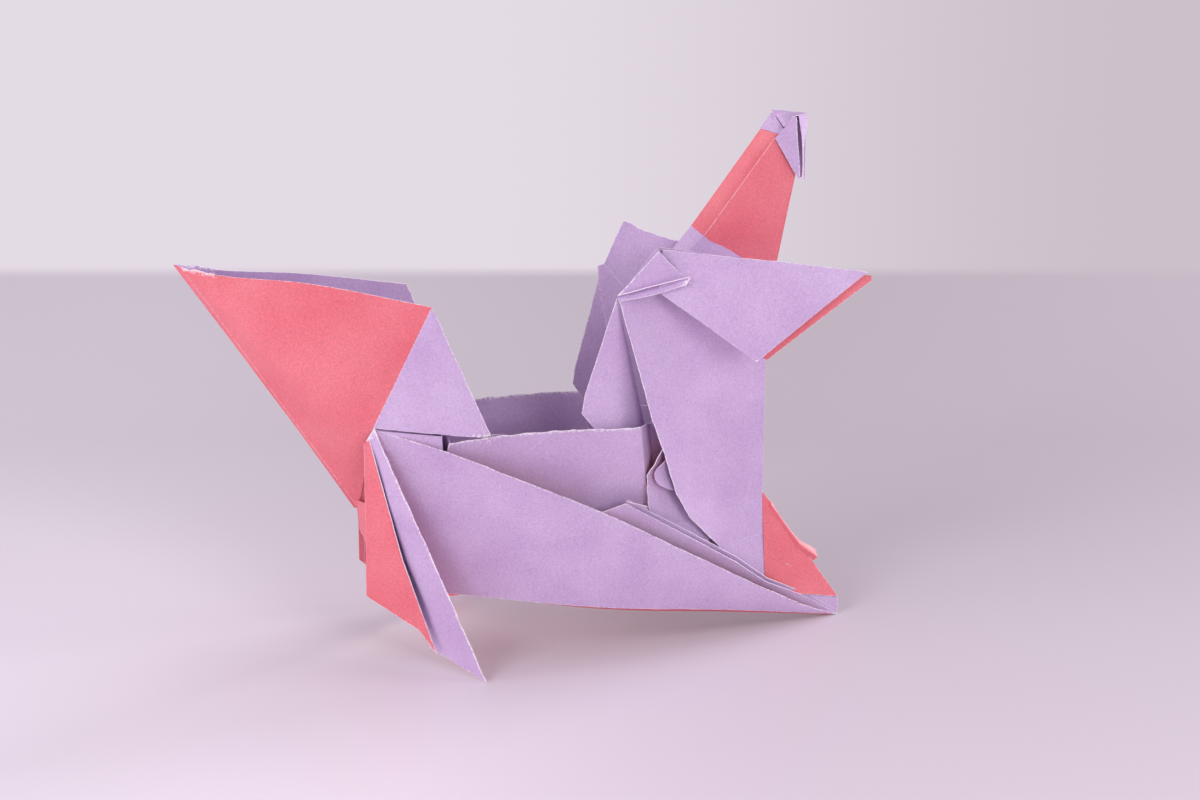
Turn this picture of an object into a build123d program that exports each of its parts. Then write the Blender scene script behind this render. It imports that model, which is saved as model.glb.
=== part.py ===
# A dog folded from one square of two-coloured craft paper, standing on a table.
# It stands on two pointed hind feet and on the bow where the chest meets the table.
# Its back is an open trough, its tail an open spout, and its raised head carries two ears.
#
# Units are millimetres. +X runs to the bow, +Y to the dog's left, +Z up from the table.
# A corner is given by its distance behind the bow, out from the plane Y = 0 and up.
# The folded sheet is symmetric about that plane, except for the crown, nose and ears.

import os

from build123d import *

os.makedirs("parts", exist_ok=True)

# Sheet
sheet = 0.3            # thickness of one layer
fold_radius = 0.18     # rounding of a crease, a little more than half a layer

# Tail, an open spout that rises to the rear
tail_back = 100.0
tail_up = 62.6
tail_blunt_out = 0.8
tail_spine_back = 101.2
tail_spine_up = 62.9
tail_root_back = 75.3
tail_root_up = 23.0
tail_corner_back = 64.0
tail_corner_out = 6.0
tail_corner_up = 56.4
far_tail_corner_back = 66.6

# Rump and hind legs
hip_back = 73.3
hip_out = 8.0
hip_up = 38.8
rear_fold_back = 75.0
rear_fold_out = 7.0
rear_fold_up = 11.4
pad_back = 64.3
pad_out = 9.8
pad_up = 1.8
foot_back = 58.0
foot_out = 16.6
cuff_open = 1.0        # how far the turned-up cuff of the leg stands off at its tip

# Inner walls of the trough
wall_up = 36.5
rump_front_back = 56.0
rump_front_out = 9.0
wall_front_back = 33.0
wall_front_out = 8.2
wall_turn_back = 29.5
wall_turn_out = 4.0
gutter_rear_back = 66.0
gutter_rear_out = 4.5
gutter_rear_up = 17.0
gutter_front_back = 20.0
gutter_front_out = 2.0
gutter_front_up = 9.0

# Outer skirts
skirt_mid_back = 39.5
skirt_mid_out = 9.8
skirt_mid_up = 24.0
skirt_fore_back = 18.5
skirt_fore_out = 5.8
skirt_fore_up = 11.0
hem_rear_back = 61.8
hem_rear_out = 9.6
hem_rear_up = 11.2
hem_mid_out = 8.8
hem_mid_up = 7.8
hem_fore_out = 5.0
hem_fore_up = 4.2
stem_up = 3.0

# Band that stands inside each skirt
band_rear_back = 35.4
band_rear_out = 8.6
band_rear_up = 24.5
band_mid_back = 25.5
band_mid_out = 6.9
band_mid_up = 18.0
band_fore_back = 14.0
band_fore_out = 3.9
band_fore_up = 8.2

# Chest and neck, two upright sides that meet in a spine
spine_back = 12.5
spine_foot_up = 21.8
throat_up = 57.0
neck_back = 36.6
neck_out = 7.6
neck_up = 57.0
chest_side_back = 31.0
chest_side_up = 36.8
chest_low_back = 24.9
chest_low_up = 20.3
chest_tip_back = 12.3
chest_tip_out = 2.2
chest_tip_up = 6.2
tuck_back = 31.8
tuck_top_up = 28.3
tuck_low_up = 21.0
tuck_out = 5.4

# Flaps behind the neck that reach down into the trough
flap_heel_back = 41.7
flap_heel_up = 41.0
flap_toe_back = 38.5
flap_toe_up = 29.0
flap_bend_back = 34.9
flap_inner_back = 27.0
flap_inner_out = 3.4
flap_heel_clear = 1.0  # how far inside the wall the flap hangs, at its heel and at its toe
flap_toe_clear = 1.6

# Head
crown_back = 30.5
crown_up = 64.0
far_crown_back = 33.4
far_crown_up = 64.8
pleat_back = 26.8
pleat_up = 59.0
pleat_lift = 1.0       # how far the pleat stands off the neck at its front corner
collar_back = 24.6
collar_up = 62.5
collar_front_back = 18.0
collar_front_up = 61.3

# Snout and nose cap
ridge_back = 22.8
ridge_out = 2.6
ridge_up = 64.5
bridge_back = 12.2
bridge_out = 2.0
bridge_up = 78.9
chin_back = 8.5
chin_up = 72.6
jaw_back = 11.0
jaw_up = 59.3
cap_heel_ahead = 0.9   # of the bridge, as are the two caps
cap_heel_rise = 2.5
near_cap_ahead = 2.5
near_cap_out = 1.8
near_cap_rise = 3.1
far_cap_ahead = 5.6
far_cap_out = 1.2
far_cap_rise = 2.6
near_lip_ahead = 0.5   # of the chin, as is the far lip
near_lip_out = 0.7
near_lip_drop = 0.7
far_lip_ahead = 1.3
far_lip_drop = 0.9

# Ears
ear_root_back = 29.8
ear_root_out = 6.8
ear_root_up = 63.9
ear_heel_back = 30.5
ear_heel_out = 8.2
ear_heel_up = 57.9
ear_tip_ahead = 1.0
ear_tip_out = 9.6
ear_tip_up = 59.7
ear_drop_back = 16.1
ear_drop_out = 10.4
ear_drop_up = 46.8
ear_lining = 1.0       # how far the rear layer shows past the front one, and stands off it
far_ear_droop = 22.0   # degrees by which the far ear hangs lower


def spot(back, out, up):
    """A corner on the near side, from its distance behind the bow, out and up."""
    return Vector(-back, -out, up)


def far(corner):
    """The corner on the far side that mirrors a near one."""
    return Vector(corner.X, -corner.Y, corner.Z)


def middle(corner):
    """The point of the plane of symmetry beside a corner."""
    return Vector(corner.X, 0, corner.Z)


def neck_side(back, up):
    """A corner on the near side of the neck, an upright plane that spreads from the spine."""
    spread = neck_out / (neck_back - spine_back)
    return spot(back, spread * (back - spine_back), up)


def panel(*corners):
    """A flat facet between three or more corners, one sheet thick."""
    first, second, last = corners[0], corners[1], corners[-1]
    normal = (second - first).cross(last - first)
    plane = Plane(origin=first, x_dir=second - first, z_dir=normal)
    flat = [plane.to_local_coords(corner) for corner in corners]
    with BuildSketch(plane) as facet:
        with BuildLine():
            Polyline(*[(point.X, point.Y) for point in flat], close=True)
        make_face()
    extrude(facet.sketch, amount=sheet / 2, both=True)


def crease(*corners):
    """A rounded fold that runs from corner to corner."""
    for start, end in zip(corners, corners[1:]):
        run = end - start
        with BuildSketch(Plane(origin=start, z_dir=run)) as section:
            Circle(fold_radius)
        extrude(section.sketch, amount=run.length)


hip = spot(hip_back, hip_out, hip_up)
rump_front = spot(rump_front_back, rump_front_out, wall_up)

# The tail's near half, its blunt spine and the rump flap that turns outward from it
tail_tip = spot(tail_back, tail_blunt_out, tail_up)
tail_spine = spot(tail_spine_back, 0, tail_spine_up)
tail_root = spot(tail_root_back, 0, tail_root_up)
tail_corner = spot(tail_corner_back, tail_corner_out, tail_corner_up)
far_tail_corner = spot(far_tail_corner_back, tail_corner_out, tail_corner_up)


def tail_half(corner):
    """One side of the tail up to its top corner, and the rump flap folded out below it."""
    panel(tail_tip, corner, hip)
    panel(tail_tip, hip, tail_root)
    panel(tail_tip, tail_spine, tail_root)
    panel(corner, hip, rump_front)
    crease(hip, tail_tip, tail_root)
    crease(tail_spine, tail_root)
    crease(corner, hip, tail_root)


with BuildPart() as near_tail:
    tail_half(tail_corner)
with BuildPart() as far_tail:
    tail_half(far_tail_corner)
    mirror(about=Plane.XZ, mode=Mode.REPLACE)

# The hind leg: an inner layer, the strip that runs down to the foot, and the turned-up cuff
rear_fold = spot(rear_fold_back, rear_fold_out, rear_fold_up)
pad = spot(pad_back, pad_out, pad_up)
foot = spot(foot_back, foot_out, 0)
cuff_tip = spot(pad_back + cuff_open / 2, pad_out + cuff_open, pad_up)
with BuildPart() as leg:
    panel(hip, rear_fold, pad)
    panel(hip, pad, foot)
    panel(hip, rear_fold, cuff_tip)
    crease(hip, rear_fold)
    crease(hip, pad)

# The outer skirt, bowed outward, from the rear fold to the stem of the bow
skirt_mid = spot(skirt_mid_back, skirt_mid_out, skirt_mid_up)
skirt_fore = spot(skirt_fore_back, skirt_fore_out, skirt_fore_up)
hem_rear = spot(hem_rear_back, hem_rear_out, hem_rear_up)
hem_mid = spot(skirt_mid_back, hem_mid_out, hem_mid_up)
hem_fore = spot(skirt_fore_back, hem_fore_out, hem_fore_up)
stem_top = spot(0, 0, stem_up)
stem_foot = spot(0, 0, 0)
with BuildPart() as skirt:
    panel(hip, rear_fold, hem_rear)
    panel(hip, hem_rear, skirt_mid)
    panel(hem_rear, hem_mid, skirt_mid)
    panel(skirt_mid, hem_mid, hem_fore)
    panel(skirt_mid, hem_fore, skirt_fore)
    panel(skirt_fore, hem_fore, stem_foot)
    crease(hip, hem_rear, skirt_mid, hem_mid)
    crease(skirt_mid, hem_fore)

# The band that stands inside the skirt and rises above its front half
band_rear = spot(band_rear_back, band_rear_out, band_rear_up)
band_mid = spot(band_mid_back, band_mid_out, band_mid_up)
band_fore = spot(band_fore_back, band_fore_out, band_fore_up)
with BuildPart() as band:
    panel(band_rear, hem_mid, band_mid)
    panel(band_mid, hem_mid, hem_fore)
    panel(band_mid, hem_fore, band_fore)
    panel(band_fore, hem_fore, stem_foot)
    crease(hem_mid, band_mid, hem_fore)

# The trough: its near wall, half of its floor and the half that closes it at the rear
wall_front = spot(wall_front_back, wall_front_out, wall_up)
wall_turn = spot(wall_turn_back, wall_turn_out, wall_up)
gutter_rear = spot(gutter_rear_back, gutter_rear_out, gutter_rear_up)
gutter_front = spot(gutter_front_back, gutter_front_out, gutter_front_up)
with BuildPart() as trough:
    panel(hip, rump_front, gutter_rear)
    panel(rump_front, wall_front, gutter_rear)
    panel(wall_front, gutter_front, gutter_rear)
    panel(wall_front, wall_turn, gutter_front)
    panel(gutter_rear, gutter_front, middle(gutter_front), middle(gutter_rear))
    panel(hip, gutter_rear, tail_root)
    panel(gutter_rear, middle(gutter_rear), tail_root)
    crease(rump_front, gutter_rear, wall_front, gutter_front)
    crease(hip, gutter_rear, gutter_front)
    crease(tail_root, gutter_rear)

# The chest: the upright side of the neck, its lower point and the prow that it frames
spine_foot = neck_side(spine_back, spine_foot_up)
throat = neck_side(spine_back, throat_up)
neck_top = neck_side(neck_back, neck_up)
chest_side = neck_side(chest_side_back, chest_side_up)
chest_low = neck_side(chest_low_back, chest_low_up)
chest_tip = spot(chest_tip_back, chest_tip_out, chest_tip_up)
collar = neck_side(collar_back, collar_up)
collar_front = neck_side(collar_front_back, collar_front_up)
tuck_top = spot(tuck_back, tuck_out, tuck_top_up)
tuck_low = spot(tuck_back, tuck_out, tuck_low_up)
with BuildPart() as chest:
    panel(neck_top, chest_side, chest_low, spine_foot, throat, collar_front, collar)
    panel(chest_low, spine_foot, chest_tip)
    panel(chest_side, tuck_top, chest_low)
    panel(tuck_top, tuck_low, chest_low)
    panel(spine_foot, chest_tip, stem_top)
    panel(chest_tip, stem_top, stem_foot)
    crease(throat, spine_foot, stem_top, stem_foot)
    crease(chest_tip, spine_foot, chest_low)
    crease(chest_tip, stem_top)

# The flap behind the neck, which bends inward behind the chest
flap_heel = spot(flap_heel_back, wall_front_out - flap_heel_clear, flap_heel_up)
flap_toe = spot(flap_toe_back, wall_front_out - flap_toe_clear, flap_toe_up)
flap_bend = spot(flap_bend_back, wall_front_out - flap_toe_clear, flap_toe_up)
flap_inner = spot(flap_inner_back, flap_inner_out, flap_toe_up)
with BuildPart() as flap:
    panel(neck_top, flap_heel, flap_toe)
    panel(neck_top, flap_toe, flap_bend)
    panel(neck_top, flap_bend, flap_inner)
    crease(neck_top, flap_toe)
    crease(neck_top, flap_bend)

# The snout: near face and half of the flat bridge between its two ridges
ridge = spot(ridge_back, ridge_out, ridge_up)
bridge = spot(bridge_back, bridge_out, bridge_up)
chin = spot(chin_back, 0, chin_up)
jaw = spot(jaw_back, 0, jaw_up)
with BuildPart() as snout:
    panel(ridge, bridge, chin)
    panel(ridge, chin, jaw)
    panel(ridge, jaw, throat)
    panel(ridge, bridge, middle(bridge), middle(ridge))
    panel(ridge, middle(ridge), middle(collar), collar)
    panel(ridge, collar, collar_front)
    panel(ridge, collar_front, throat)
    crease(collar, ridge, bridge, chin, jaw, throat)

# The crown above the neck, with the pleat folded down over its near side
def crown_half(crown, pleat):
    """One side of the crown, with its pleat hinged on the edge behind it."""
    panel(neck_top, crown, collar)
    panel(neck_top, crown, pleat)
    crease(neck_top, crown)


crown = neck_side(crown_back, crown_up)
far_crown = neck_side(far_crown_back, far_crown_up)
pleat_seat = neck_side(pleat_back, pleat_up)
pleat = spot(pleat_back, -pleat_seat.Y + pleat_lift, pleat_up)
with BuildPart() as near_crown:
    crown_half(crown, pleat)
with BuildPart() as far_crown_side:
    crown_half(far_crown, pleat)
    mirror(about=Plane.XZ, mode=Mode.REPLACE)

# The nose cap: two flaps folded down over the end of the snout, open along the front
cap_heel = bridge + Vector(cap_heel_ahead, 0, cap_heel_rise)
near_cap = spot(bridge_back - near_cap_ahead, near_cap_out, bridge_up + near_cap_rise)
near_lip = spot(chin_back - near_lip_ahead, near_lip_out, chin_up - near_lip_drop)
far_cap = far(spot(bridge_back - far_cap_ahead, far_cap_out, bridge_up + far_cap_rise))
far_lip = chin + Vector(far_lip_ahead, 0, -far_lip_drop)
with BuildPart() as nose:
    panel(bridge, cap_heel, near_cap, near_lip)
    panel(bridge, near_lip, chin)
    panel(bridge, cap_heel, far(cap_heel), far(bridge))
    panel(cap_heel, near_cap, far(cap_heel))
    panel(near_cap, far_cap, far(cap_heel))
    panel(far(bridge), far(cap_heel), far_cap)
    panel(far(bridge), far_cap, far_lip)
    panel(far(bridge), far_lip, chin)
    crease(near_cap, cap_heel, far(cap_heel), far_cap)
    crease(cap_heel, bridge)
    crease(far(cap_heel), far(bridge), far_cap)

# An ear: a narrow root that stands off the neck, and two layers joined along the top edge
ear_root = spot(ear_root_back, ear_root_out, ear_root_up)
ear_heel = spot(ear_heel_back, ear_heel_out, ear_heel_up)
ear_tip = spot(-ear_tip_ahead, ear_tip_out, ear_tip_up)
ear_drop = spot(ear_drop_back, ear_drop_out, ear_drop_up)
ear_seat_top = neck_side(ear_heel_back, ear_root_up - ear_lining)
ear_seat_low = neck_side(ear_heel_back, ear_heel_up)
lining_offset = Vector(ear_lining, ear_lining, 0)
with BuildPart() as near_ear:
    panel(ear_root, ear_tip, ear_drop, ear_heel)
    panel(ear_root, ear_tip + lining_offset / 2, ear_drop + lining_offset, ear_heel)
    panel(ear_root, ear_seat_top, ear_seat_low, ear_heel)
    crease(ear_tip, ear_root, ear_heel)

neck_face = Vector(neck_out, neck_back - spine_back, 0)
with BuildPart() as far_ear:
    add(near_ear.part)
    mirror(about=Plane.XZ, mode=Mode.REPLACE)
    drooped = far_ear.part.rotate(Axis(far(ear_root), neck_face), far_ear_droop)
    add(drooped, mode=Mode.REPLACE)

with BuildPart() as sheet_at_bow:
    for side in (leg, skirt, band, trough, chest, flap, snout):
        add(side.part)
    mirror(about=Plane.XZ)
    for lone in (near_tail, far_tail, near_crown, far_crown_side, nose, near_ear, far_ear):
        add(lone.part)

# The origin moves to the table, under the middle of the dog
extent = sheet_at_bow.part.bounding_box()
ground = Vector(extent.center().X, 0, extent.min.Z)
with BuildPart() as folded_sheet:
    add(sheet_at_bow.part.moved(Location(-ground)))

folded_sheet.part.label = "folded_sheet"
export_step(folded_sheet.part, "parts/folded_sheet.step")
print("bow ahead of the origin:", round(-ground.X, 3), "table below the bow:", round(-ground.Z, 3))
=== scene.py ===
import math
import random

import bpy
import numpy as np
from mathutils import Matrix, Vector, noise


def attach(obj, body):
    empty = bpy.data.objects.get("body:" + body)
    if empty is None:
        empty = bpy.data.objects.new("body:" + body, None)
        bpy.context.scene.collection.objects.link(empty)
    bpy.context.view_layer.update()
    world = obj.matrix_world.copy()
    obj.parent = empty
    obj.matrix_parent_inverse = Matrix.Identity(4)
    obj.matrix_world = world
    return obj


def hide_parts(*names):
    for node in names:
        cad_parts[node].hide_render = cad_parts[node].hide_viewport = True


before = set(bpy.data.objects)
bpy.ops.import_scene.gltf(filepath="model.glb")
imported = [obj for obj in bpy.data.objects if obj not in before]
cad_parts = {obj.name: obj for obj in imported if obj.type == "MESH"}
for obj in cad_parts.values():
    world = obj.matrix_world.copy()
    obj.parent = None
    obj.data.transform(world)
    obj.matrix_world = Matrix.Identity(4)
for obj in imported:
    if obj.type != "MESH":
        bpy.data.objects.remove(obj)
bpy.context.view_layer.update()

mm = 0.001
bowAhead = 49.92      # the bow's place ahead of the origin, in mm
tableDrop = 0.02      # the table lies this far above the lowest crease, in mm
noise.seed_set(1)     # the clock seeds it otherwise, and every run would differ


# Colours are picked as sRGB hex and turned to the linear values that the shaders take
def hexColour(code):
    channels = [int(code[i:i + 2], 16) / 255 for i in (1, 3, 5)]
    linear = [c / 12.92 if c <= 0.04045 else ((c + 0.055) / 1.055) ** 2.4 for c in channels]
    return (*linear, 1.0)


# Adds a node. Settings and links go by input name or number, or by attribute name.
def addNode(tree, kind, settings=None, links=None):
    node = tree.nodes.new(kind)
    for key, value in (settings or {}).items():
        if isinstance(key, int) or key in node.inputs:
            node.inputs[key].default_value = value
        else:
            setattr(node, key, value)
    for key, source in (links or {}).items():
        tree.links.new(source, node.inputs[key])
    return node


def calculated(tree, operation, *sources, clamp=False):
    return addNode(tree, "ShaderNodeMath", {"operation": operation, "use_clamp": clamp},
                   dict(enumerate(sources))).outputs["Value"]


# Maps a value from one span of numbers to another
def mapped(tree, value, source, target=(0.0, 1.0), smooth=False):
    settings = {"interpolation_type": "SMOOTHSTEP" if smooth else "LINEAR", "From Min": source[0],
                "From Max": source[1], "To Min": target[0], "To Max": target[1]}
    return addNode(tree, "ShaderNodeMapRange", settings, {"Value": value}).outputs["Result"]


def colourBetween(tree, first, second, share):
    settings = {"data_type": "RGBA", 6: hexColour(first), 7: hexColour(second)}
    return addNode(tree, "ShaderNodeMix", settings, {0: share}).outputs[2]


# A material, its emptied node tree and the place on the object
def newMaterial(name):
    material = bpy.data.materials.new(name)
    material.use_nodes = True
    tree = material.node_tree
    tree.nodes.clear()
    return material, tree, addNode(tree, "ShaderNodeTexCoord").outputs["Object"]


# Craft paper, 80 to 100 g, dyed on both faces over a white core. The eye sees a matt face with
# a fine tooth, a slight mottle where the dye took unevenly, and white where it is torn or rubbed; along folds
# the white is also a painted highlight.
paperLook = {
    "lilac": {"face": "#CCB1D7", "deep": "#BE9FCB", "roughness": 0.62},
    "coral": {"face": "#E67B86", "deep": "#DE6876", "roughness": 0.45},
    "core": "#F4ECF2", "pulp": "#DCC8DD", "coreRoughness": 0.8,
    "ior": 1.5, "specular": 0.4,
    "noiseSpan": (0.28, 0.72),     # the part of the noise that is drawn from dark to bright
    "grainSize": 0.28,      # mm, real tooth is about 0.1 and is drawn coarser so that it shows
    "grainDepth": 0.02,     # mm
    "grainShade": (0.85, 1.09),    # of the face's colour
    "mottleSize": 9.0,      # mm
    "dentSize": 5.0,        # mm, the soft dents of a sheet that fingers have pressed
    "dentDepth": 0.05,      # mm
    "raggedSize": 0.45,     # mm, over which a white edge widens and narrows
    "raggedSpan": (0.36, 0.62),
    "raggedReach": (0.05, 1.7),    # of the width given with each line
    "rawWhite": 0.85,       # most white at a torn or cut edge, and at a fold: rubbed paper plus painted highlight
    "foldWearAndHighlight": 0.4,
    "scuffSize": 1.1,       # mm, the rubbed stretches of a crease
    "scuffSpan": (0.50, 0.66),
    "scuffWhite": 0.28,
    "creaseWidth": 0.14,    # mm
    "creaseDepth": 0.03,    # mm
    "pulpSize": 0.3,        # mm
}


def paperMaterial(name, look):
    material, tree, place = newMaterial(name)
    inMm = addNode(tree, "ShaderNodeVectorMath", {"operation": "SCALE", "Scale": 1 / mm}, {0: place})
    noises = {}
    for key, detail in (("mottle", 4.0), ("grain", 3.0), ("dent", 1.0), ("ragged", 2.0), ("scuff", 2.0)):
        settings = {"Scale": 1 / paperLook[key + "Size"], "Detail": detail}
        texture = addNode(tree, "ShaderNodeTexNoise", settings, {"Vector": inMm.outputs["Vector"]})
        noises[key] = texture.outputs["Fac"]
    face = colourBetween(tree, look["face"], look["deep"],
                         mapped(tree, noises["mottle"], paperLook["noiseSpan"]))
    fleck = mapped(tree, noises["grain"], paperLook["noiseSpan"], paperLook["grainShade"])
    tinted = addNode(tree, "ShaderNodeVectorMath", {"operation": "SCALE"}, {0: face, "Scale": fleck})

    # White where the edge is torn; thinner and broken along a fold, as rubbed paper plus painted highlight
    masks = []
    reach = mapped(tree, noises["ragged"], paperLook["raggedSpan"], paperLook["raggedReach"])
    for attribute, white in (("rawEdge", "rawWhite"), ("foldEdge", "foldWearAndHighlight")):
        distance = addNode(tree, "ShaderNodeAttribute", {"attribute_name": attribute}).outputs["Fac"]
        mask = addNode(tree, "ShaderNodeMapRange", {"To Min": paperLook[white], "To Max": 0.0},
                       {"Value": distance, "From Max": reach})
        masks.append(mask.outputs["Result"])

    # Creases hold their signed distance, the place along them and their length, in mm
    ridges = []
    for attribute in ("creaseOne", "creaseTwo"):
        crease = addNode(tree, "ShaderNodeAttribute", {"attribute_name": attribute}).outputs["Vector"]
        away, along, length = addNode(tree, "ShaderNodeSeparateXYZ", None, {"Vector": crease}).outputs
        away = calculated(tree, "ABSOLUTE", away)
        beyond = calculated(tree, "SUBTRACT", length, along)
        within = calculated(tree, "MULTIPLY", along, beyond, clamp=True)
        line = mapped(tree, away, (0.0, paperLook["creaseWidth"]), (1.0, 0.0), smooth=True)
        ridges.append(calculated(tree, "MULTIPLY", line, within))
    ridge = calculated(tree, "MAXIMUM", *ridges)
    rubbed = mapped(tree, noises["scuff"], paperLook["scuffSpan"], (0.0, paperLook["scuffWhite"]))
    masks.append(calculated(tree, "MULTIPLY", ridge, rubbed))

    # All white marks together: torn edges, rubbed creases and the painted fold highlight
    wearAndHighlightMask = masks[0]
    for mask in masks[1:]:
        wearAndHighlightMask = calculated(tree, "MAXIMUM", wearAndHighlightMask, mask)
    wearAndHighlight = addNode(tree, "ShaderNodeMix", {"data_type": "RGBA", 7: hexColour(paperLook["core"])},
                   {0: wearAndHighlightMask, 6: tinted.outputs["Vector"]})
    relief = None
    for height, depth in ((noises["grain"], "grainDepth"), (noises["dent"], "dentDepth"),
                          (ridge, "creaseDepth")):
        bump = addNode(tree, "ShaderNodeBump", {"Strength": 1.0, "Distance": paperLook[depth] * mm},
                       {"Height": height})
        if relief is not None:
            tree.links.new(relief, bump.inputs["Normal"])
        relief = bump.outputs["Normal"]
    settings = {"Roughness": look["roughness"], "IOR": paperLook["ior"],
                "Specular IOR Level": paperLook["specular"]}
    shader = addNode(tree, "ShaderNodeBsdfPrincipled", settings,
                     {"Base Color": wearAndHighlight.outputs[2], "Normal": relief})
    addNode(tree, "ShaderNodeOutputMaterial", None, {"Surface": shader.outputs["BSDF"]})
    return material


# The core is undyed pulp: white, matt and a little fibrous, seen only on torn and cut edges
def coreMaterial():
    material, tree, place = newMaterial("paperCore")
    pulp = addNode(tree, "ShaderNodeTexNoise", {"Scale": 1 / (paperLook["pulpSize"] * mm), "Detail": 3.0},
                   {"Vector": place})
    shade = colourBetween(tree, paperLook["pulp"], paperLook["core"], pulp.outputs["Fac"])
    shader = addNode(tree, "ShaderNodeBsdfPrincipled",
                     {"Roughness": paperLook["coreRoughness"], "IOR": paperLook["ior"]},
                     {"Base Color": shade})
    addNode(tree, "ShaderNodeOutputMaterial", None, {"Surface": shader.outputs["BSDF"]})
    return material


finishes = {
    "lilac": paperMaterial("lilacCraftPaper", paperLook["lilac"]),
    "coral": paperMaterial("coralCraftPaper", paperLook["coral"]),
    "core": coreMaterial(),
}
finishNumbers = {name: number for number, name in enumerate(finishes)}
print("materials made")

sheetLook = {
    "thickness": 0.13,     # mm
    "waveSize": 16.0,      # mm, the length of the soft waves in a handled sheet
    "waveHeight": 0.2,     # mm
    "waveShares": (0.4, 1.0, 0.3),    # of the height, ahead, aside and up
    "tearSizes": ((1.7, 1.0), (0.45, 0.4)),    # mm, a torn edge's wander and teeth, and their shares
    "tearGain": 1.4,       # scales the noise to the depth set with a line
    "tearReach": 0.30,     # mm, how far into the sheet the tear is felt
    "tearEnd": 3,          # reaches, beyond which the tear is too small to draw
    "softFold": 24,        # degrees, below which a fold is rounded rather than sharp
    "lowest": 0.005,       # mm, the least height over the table
    "rimWidth": 0.05,      # shares of a line's width, within which a rim lies on the raw line
    "lineSteps": 24,
    "farAway": 99.0,       # widths, past where any white ends
    "easeRate": 6,         # a curve turns straight over the last sixth at each side
}
# What a facet has unless it or its piece says otherwise
facetLook = {"outside": "lilac", "inside": "lilac", "steps": (60, 30), "faces": "out", "bulge": 0.0,
             "smooth": True}
directions = {"out": (0, -1, 0), "in": (0, 1, 0), "up": (0, 0, 1), "down": (0, 0, -1),
              "fore": (1, 0, 0), "rear": (-1, 0, 0)}


# The span in which each place lies, how far along it that is, and its width
def spansAt(stops, knots, at):
    span = np.clip(np.searchsorted(knots, at, side="right") - 1, 0, len(knots) - 2)
    shape = (-1,) + (1,) * (stops.ndim - 1)
    width = (knots[span + 1] - knots[span]).reshape(shape)
    return span, (at - knots[span]).reshape(shape) / width, width


# A smooth curve through the stops, whose knots are the distances between them
def smoothThrough(stops, knots, at):
    slopes = np.gradient(stops, knots, axis=0)
    span, t, width = spansAt(stops, knots, at)
    return ((2 * t**3 - 3 * t**2 + 1) * stops[span] + (t**3 - 2 * t**2 + t) * width * slopes[span]
            + (3 * t**2 - 2 * t**3) * stops[span + 1] + (t**3 - t**2) * width * slopes[span + 1])


def straightThrough(stops, knots, at):
    span, t, _ = spansAt(stops, knots, at)
    return stops[span] * (1 - t) + stops[span + 1] * t


# Even steps from the first knot to the last, with one step moved onto each knot between
def stepsOver(knots, count):
    at = np.linspace(0, knots[-1], count + 1)
    for knot in knots[1:-1]:
        at[1 + np.argmin(np.abs(at[1:-1] - knot))] = knot
    return at


# A line through named places, straight from one to the next, or smooth where it starts with ~
def lineThrough(places, names, count):
    stops = np.array([places[key] for key in names.lstrip("~").split()], float)
    if len(stops) == 1:
        return np.repeat(stops, count + 1, axis=0)
    knots = np.concatenate(([0], np.cumsum(np.linalg.norm(np.diff(stops, axis=0), axis=1))))
    through = smoothThrough if names.startswith("~") else straightThrough
    return through(stops, knots, stepsOver(knots, count))


# A facet of the sheet lies between rows, which are lines through named places. More than two
# rows are joined by a smooth curve, which turns straight towards the facet's two sides.
def facetGrid(places, look):
    columns, across = look["steps"]
    rows = np.array([lineThrough(places, names, columns) for names in look["rows"]])
    gaps = np.linalg.norm(np.diff(rows, axis=0), axis=2).mean(axis=1)
    knots = np.concatenate(([0], np.cumsum(gaps)))
    at = stepsOver(knots, across)
    grid = straightThrough(rows, knots, at)
    u = np.linspace(0, 1, columns + 1)
    if len(rows) > 2 and look["smooth"]:
        ease = np.clip(sheetLook["easeRate"] * np.minimum(u, 1 - u), 0, 1)[None, :, None]
        grid = grid * (1 - ease) + smoothThrough(rows, knots, at) * ease
    normal = np.cross(grid[-1, -1] - grid[0, 0], grid[-1, 0] - grid[0, -1])
    normal = normal / np.linalg.norm(normal)
    if normal @ np.array(directions[look["faces"]]) < 0:
        normal = -normal
    bow = np.outer(np.sin(math.pi * np.linspace(0, 1, across + 1)), np.sin(math.pi * u))
    grid = grid + look["bulge"] * bow[:, :, None] * normal
    ahead = np.cross(grid[1:, 1:] - grid[:-1, :-1], grid[1:, :-1] - grid[:-1, 1:]).sum(axis=(0, 1))
    return grid, ahead @ normal > 0, normal


# How far each point lies from the nearest line, in shares of the width given with the line
def distanceTo(points, places, lines):
    nearest = np.full(len(points), sheetLook["farAway"])
    for names, width, *_ in lines:
        stops = lineThrough(places, names, sheetLook["lineSteps"])
        for start, end in zip(stops, stops[1:]):
            run = end - start
            if run @ run < 1e-9:
                continue
            along = np.clip((points - start) @ run / (run @ run), 0, 1)
            away = np.linalg.norm(points - start - along[:, None] * run, axis=1)
            nearest = np.minimum(nearest, away / width)
    return nearest


# The waves are the same for every layer, so that layers that lie close stay apart
def waved(point):
    lift = noise.noise_vector(Vector(point) / sheetLook["waveSize"]) * sheetLook["waveHeight"]
    return [value + share * rise for value, share, rise in zip(point, sheetLook["waveShares"], lift)]


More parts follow.
